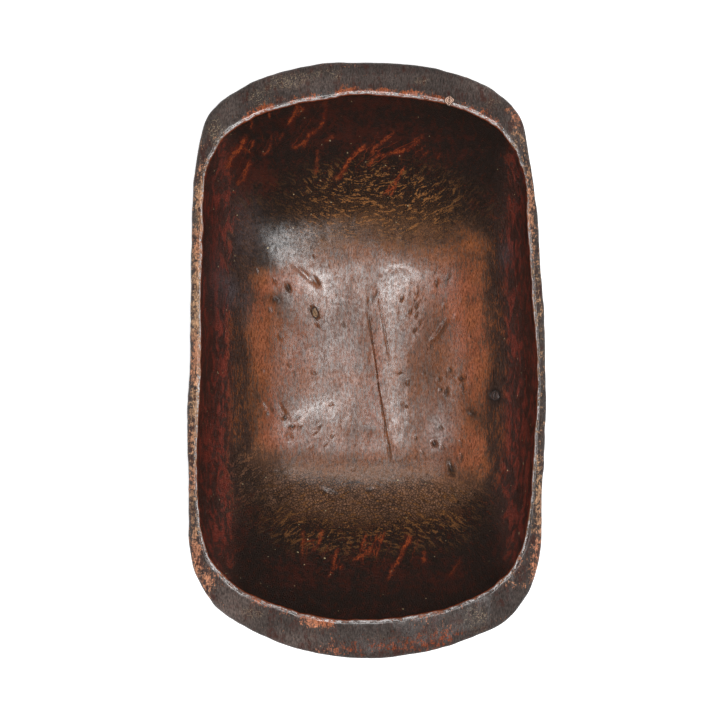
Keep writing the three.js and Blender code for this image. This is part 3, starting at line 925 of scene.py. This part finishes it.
def relief_group():
    """Small unevenness in object space. Dents: about 4 mm wide. Grit: about 1.3 mm wide. Patches:
    about 12 mm wide. Flames: wavy tongues about 8 mm wide and 25 mm long. Cracks: a net whose
    meshes are about 3 mm wide."""
    names = ["Dents", "Grit", "Patches", "Flames", "Cracks"]
    group, t, given, out = new_group("relief", {"Vector": None, "Fineness": 1.0}, names)
    place = t.vectors("SCALE", given["Vector"], Scale=given["Fineness"])
    t.link(t.spread(t.noise(place, 270.0, 3.0, 0.6, 0.6), 0.32, 0.68), out["Dents"])
    t.link(t.spread(t.noise(place, 760.0, 2.0, 0.6), 0.32, 0.68), out["Grit"])
    t.link(t.spread(t.noise(place, 85.0, 3.0, 0.6, 0.5), 0.32, 0.68), out["Patches"])
    t.link(t.spread(t.noise(t.stretched(place, 130, 42, 70), 1.0, 4.0, 0.62, 1.2), 0.34, 0.66), out["Flames"])
    net = t.put("ShaderNodeTexVoronoi", {"Vector": place, "Scale": 340.0}, feature="DISTANCE_TO_EDGE")
    t.link(t.ramp(net.outputs["Distance"], 0.16, 0.03), out["Cracks"])
    return group


def ragged_group():
    """A mask with a ragged edge: the cover with noise added, cut off softly halfway."""
    inputs = {"Cover": 0.5, "Noise": 0.5, "Amount": 0.5, "Softness": 0.15}
    group, t, given, out = new_group("ragged_edge", inputs, ["Mask"])
    noise = t.times(t.maths("SUBTRACT", given["Noise"], 0.5), given["Amount"])
    low = t.maths("SUBTRACT", 0.5, given["Softness"])
    high = t.plus(0.5, given["Softness"])
    t.link(t.ramp(t.plus(given["Cover"], noise), low, high), out["Mask"])
    return group


def new_material(name, **constants):
    """A material with an empty Principled shader, whose plain values are set on its own sockets."""
    material = bpy.data.materials.new(name)
    material.use_nodes = True
    tree = Tree(material.node_tree)
    shader = material.node_tree.nodes["Principled BSDF"]
    for key, value in constants.items():
        shader.inputs[key.replace("_", " ")].default_value = value
    return material, tree, shader


GOLD_FLECK = (*srgb(146, 96, 54), 1)
PALE_SPECK = (*srgb(196, 176, 136), 1)
TAN_FLECK = (*srgb(148, 130, 108), 1)
# painted reflection: the bluish grey of a sheen on the walls
PAINTED_SHEEN_GREY = (*srgb(84, 76, 78), 1)
STAIN_RED = (*srgb(70, 28, 18), 1)
STREAK_RED = (*srgb(104, 36, 20), 1)
STREAK_CORE = (*srgb(164, 78, 38), 1)
LIP_LINE = (*srgb(186, 88, 40), 1)
# the painted highlight along the lip's crest
LIP_HIGHLIGHT = (*srgb(236, 230, 228), 1)
BLACK_DIRT = (*srgb(16, 11, 9), 1)


def patinated_wood(groups):
    constants = {"Specular_IOR_Level": 0.2, "Coat_Roughness": 0.19, "Coat_IOR": 1.5}
    material, t, shader = new_material("patinated_wood", **constants)
    place = t.put("ShaderNodeTexCoord").outputs["Object"]
    fibres, figure, pores, hairs = t.group(groups["grain"], Vector=place)
    strokes = t.group(groups["sweep"], Vector=place)[0]
    dents, grit, patches, flames, cracks = t.group(groups["relief"], Vector=place)
    from_lip = t.attribute("from_lip")
    sweep = t.attribute("sweep")
    on_rim = t.ramp(from_lip, 0.4, -0.6)

    # what breaks up the skin: grain on the floor, strokes and grit on the slopes, grit on the rim
    floor_break = t.weighed((fibres, 0.5), (figure, 0.2), (hairs, 0.3))
    slope_break = t.weighed((strokes, 0.65), (grit, 0.35))
    wall_break = t.weighed((flames, 0.55), (fibres, 0.15), (hairs, 0.2), (0.5, 0.1))
    rim_break = t.weighed((dents, 0.35), (fibres, 0.3), (grit, 0.2), (patches, 0.15))
    below = t.blend(t.attribute("flames"), t.blend(sweep, floor_break, slope_break), wall_break)
    breakup = t.blend(on_rim, below, rim_break)
    ragged = groups["ragged"]
    skin = t.group(ragged, Cover=t.attribute("skin_cover"), Noise=breakup, Amount=2.1, Softness=0.24)[0]
    stain = t.attribute("red_stain")
    tongues = t.weighed((flames, 0.4), (patches, 0.3), (dents, 0.3))
    stained = t.group(ragged, Cover=stain, Noise=tongues, Amount=1.5, Softness=0.3)[0]

    wood_colour, skin_colour = (t.attribute(name, "Vector") for name in ("wood_colour", "skin_colour"))
    bare = t.shaded(wood_colour, t.blend(sweep, t.weighed((fibres, 0.45), (hairs, 0.55)), strokes), 0.25, 1.7)
    dark = t.shaded(skin_colour, t.weighed((dents, 0.35), (hairs, 0.65)), 0.45, 1.55)
    colour = t.mix(skin, bare, dark)
    colour = t.mix(t.times(stained, 0.7), colour, STAIN_RED)
    # a bluish-grey sheen painted on the walls where reflections fall
    colour = t.mix(t.times(t.attribute("painted_sheen"), t.ramp(dents, 0.1, 0.9, 0.3, 0.8)), colour, PAINTED_SHEEN_GREY)

    # flecks
    on_slopes = t.weighed((strokes, 0.65), (grit, 0.35))
    fleck_noise = t.blend(on_rim, on_slopes, t.weighed((grit, 0.75), (dents, 0.25)))
    fleck_noise = t.plus(fleck_noise, t.centred(patches, 0.16))
    flecked = t.times(t.ramp(fleck_noise, 0.58, 0.74), t.attribute("flecks"))
    colour = t.mix(flecked, colour, t.mix(on_rim, GOLD_FLECK, TAN_FLECK))

    # rubbed streaks: a dull red halo and a broken, brighter core
    offset = t.maths("ABSOLUTE", t.plus(t.attribute("streak_offset"), t.centred(dents, 1.4)))
    power = t.attribute("streak_power")
    halo = t.times(t.ramp(offset, 1.6, 0.1), t.times(power, t.ramp(patches, 0, 0.7, 0.4, 0.8)))
    rubbed = t.times(power, t.ramp(patches, 0.1, 0.6, 0.2, 0.9))
    core = t.times(t.ramp(t.plus(offset, t.centred(grit, 0.8)), 0.6, 0.05), rubbed)
    colour = t.mix(halo, colour, STREAK_RED)
    colour = t.mix(core, colour, STREAK_CORE)

    # pale specks caught in the soot, and fine cracks in the wax of the lower slope
    specks = t.ramp(t.noise(place, 330.0, 0.0), 0.855, 0.875)
    colour = t.mix(t.times(specks, t.maths("MAXIMUM", sweep, t.attribute("flames"))), colour, PALE_SPECK)
    colour = t.mix(t.times(cracks, t.times(t.attribute("crackle"), 0.75)), colour, BLACK_DIRT)

    # the lip: a painted highlight along its crest, broken up, with a thin warm line under it
    over = t.plus(from_lip, t.centred(grit, 1.8))
    pale = t.times(t.ramp(over, -4.0, -2.6), t.ramp(over, 0.3, -0.7))
    broken = t.ramp(t.weighed((dents, 0.6), (patches, 0.4)), 0.32, 0.62, 0.08, 0.95)
    colour = t.mix(t.times(pale, broken), colour, LIP_HIGHLIGHT)
    under = t.plus(from_lip, t.centred(dents, 1.4))
    line = t.times(t.ramp(under, -0.6, 0.2), t.ramp(under, 4.6, 2.2))
    colour = t.mix(t.times(line, 0.95), colour, LIP_LINE)

    # dirt in the pores and splits
    split = t.maths("ABSOLUTE", t.plus(t.attribute("split_offset"), t.centred(grit, 0.8)))
    dirt = t.times(t.ramp(split, 1.3, 0.5), t.attribute("split_power"))
    colour = t.mix(t.maths("MAXIMUM", dirt, t.times(pores, 0.5)), colour, BLACK_DIRT)
    t.link(colour, shader.inputs["Base Color"])

    polished = t.times(t.ramp(from_lip, -6.0, -3.0), t.ramp(from_lip, 2.5, 0.5))
    roughness = t.plus(0.45, t.centred(grit, 0.14))
    t.link(t.blend(polished, roughness, 0.3), shader.inputs["Roughness"])
    uneven = t.weighed((dents, 0.45), (fibres, 0.35), (hairs, 0.2))
    wax = t.times(t.attribute("sheen"), t.ramp(uneven, 0.15, 0.85, 0.4, 1.6))
    t.link(t.maths("MAXIMUM", wax, t.times(polished, 0.8)), shader.inputs["Coat Weight"])
    scored = t.times(cracks, t.attribute("crackle"))
    raised = [(fibres, 0.4), (hairs, 0.6), (dents, 0.25), (grit, 0.6), (strokes, 0.3)]
    relief = t.weighed(*raised, (pores, -0.4), (scored, -0.5))
    bump = t.put("ShaderNodeBump", {"Strength": 1.0, "Distance": 0.0012, "Height": relief})
    t.link(bump.outputs[0], shader.inputs["Normal"])
    return material


def knot_wood(name, groups, ring_colour, dark_colour):
    """Knot wood: growth rings round the knot's own middle, from a value on its vertices."""
    material, t, shader = new_material(name, Coat_Roughness=0.25)
    place = t.put("ShaderNodeTexCoord").outputs["Object"]
    fibres, _, pores, _ = t.group(groups["grain"], Vector=place, Fineness=1.6)
    dents = t.group(groups["relief"], Vector=place, Fineness=2.0)[0]
    share = t.attribute("knot_share")
    wobble = t.plus(t.times(share, 19.0), t.times(dents, 1.0))
    rings = t.ramp(t.maths("SINE", wobble), -0.7, 0.9)
    mask = t.group(groups["ragged"], Cover=rings, Noise=fibres, Amount=0.7, Softness=0.4)[0]
    colour = t.mix(mask, (*dark_colour, 1), (*ring_colour, 1))
    colour = t.mix(t.ramp(share, 0.84, 0.98), colour, BLACK_DIRT)
    dirt = t.maths("MAXIMUM", t.ramp(t.attribute("split"), 0.2, 0.8), t.times(pores, 0.6))
    colour = t.mix(dirt, colour, BLACK_DIRT)
    t.link(colour, shader.inputs["Base Color"])
    t.link(t.ramp(mask, 0, 1, 0.5, 0.32), shader.inputs["Roughness"])
    bump = t.put("ShaderNodeBump", {"Strength": 0.5, "Distance": 0.0006, "Height": mask})
    t.link(bump.outputs[0], shader.inputs["Normal"])
    return material


# ------------------------------------------------------------------------- camera, floor and lights

CAMERA_AT = (-0.007, 0.0, 1.74)
LENS = 79.46


def overhead_camera():
    data = bpy.data.cameras.new("camera")
    data.lens = LENS
    data.sensor_width = 36
    camera = bpy.data.objects.new("camera", data)
    camera.location = CAMERA_AT
    bpy.context.collection.objects.link(camera)
    bpy.context.scene.camera = camera


def pale_floor():
    size = 6.0
    mesh = bpy.data.meshes.new("floor")
    corners = [(-size, -size, -MM / 4), (size, -size, -MM / 4), (size, size, -MM / 4), (-size, size, -MM / 4)]
    mesh.from_pydata(corners, [], [(0, 1, 2, 3)])
    floor = bpy.data.objects.new("floor", mesh)
    bpy.context.collection.objects.link(floor)
    material, _, shader = new_material("pale_floor", Base_Color=(0.9, 0.9, 0.9, 1), Roughness=0.9)
    shader.inputs["Emission Color"].default_value = (1, 1, 1, 1)
    shader.inputs["Emission Strength"].default_value = 0.55
    mesh.materials.append(material)


# The lamps, which hang 1.9 m up to shine in the wax: name, place, side and power.
LAMPS = [
    ("softbox_wide", (0.02, -0.04, 1.95), 0.7, 12),
    ("softbox_a", (0.15, -0.46, 1.9), 0.34, 8),
    ("softbox_far", (0.27, -0.86, 1.9), 0.4, 7),
    ("softbox_near", (0, 0.62, 1.9), 0.4, 5),
    ("softbox_b", (-0.02, -0.1, 1.9), 0.12, 4),
    ("softbox_c", (0.09, 0.06, 1.9), 0.14, 5),
]


def softbox(name, place, side, power):
    """A square area light that faces the middle of the bowl."""
    data = bpy.data.lights.new(name, "AREA")
    data.size = side
    data.energy = power
    light = bpy.data.objects.new(name, data)
    light.location = place
    aim = -light.location
    light.rotation_euler = aim.to_track_quat("-Z", "Y").to_euler()
    bpy.context.collection.objects.link(light)


def studio_light():
    for lamp in LAMPS:
        softbox(*lamp)
    world = bpy.data.worlds.new("studio")
    bpy.context.scene.world = world
    world.use_nodes = True
    background = world.node_tree.nodes["Background"]
    background.inputs["Color"].default_value = (1, 1, 1, 1)
    background.inputs["Strength"].default_value = 0.22


overhead_camera()
pale_floor()
studio_light()
bpy.context.scene.view_settings.view_transform = "Standard"

groups = {"grain": grain_group(), "sweep": sweep_group(), "relief": relief_group(), "ragged": ragged_group()}
body = bowl_body()
body.data.materials.append(patinated_wood(groups))
for form, wood, ring_colour, dark_colour in KNOTS:
    plug = knot(*form)
    plug.data.materials.append(knot_wood(wood, groups, ring_colour, dark_colour))
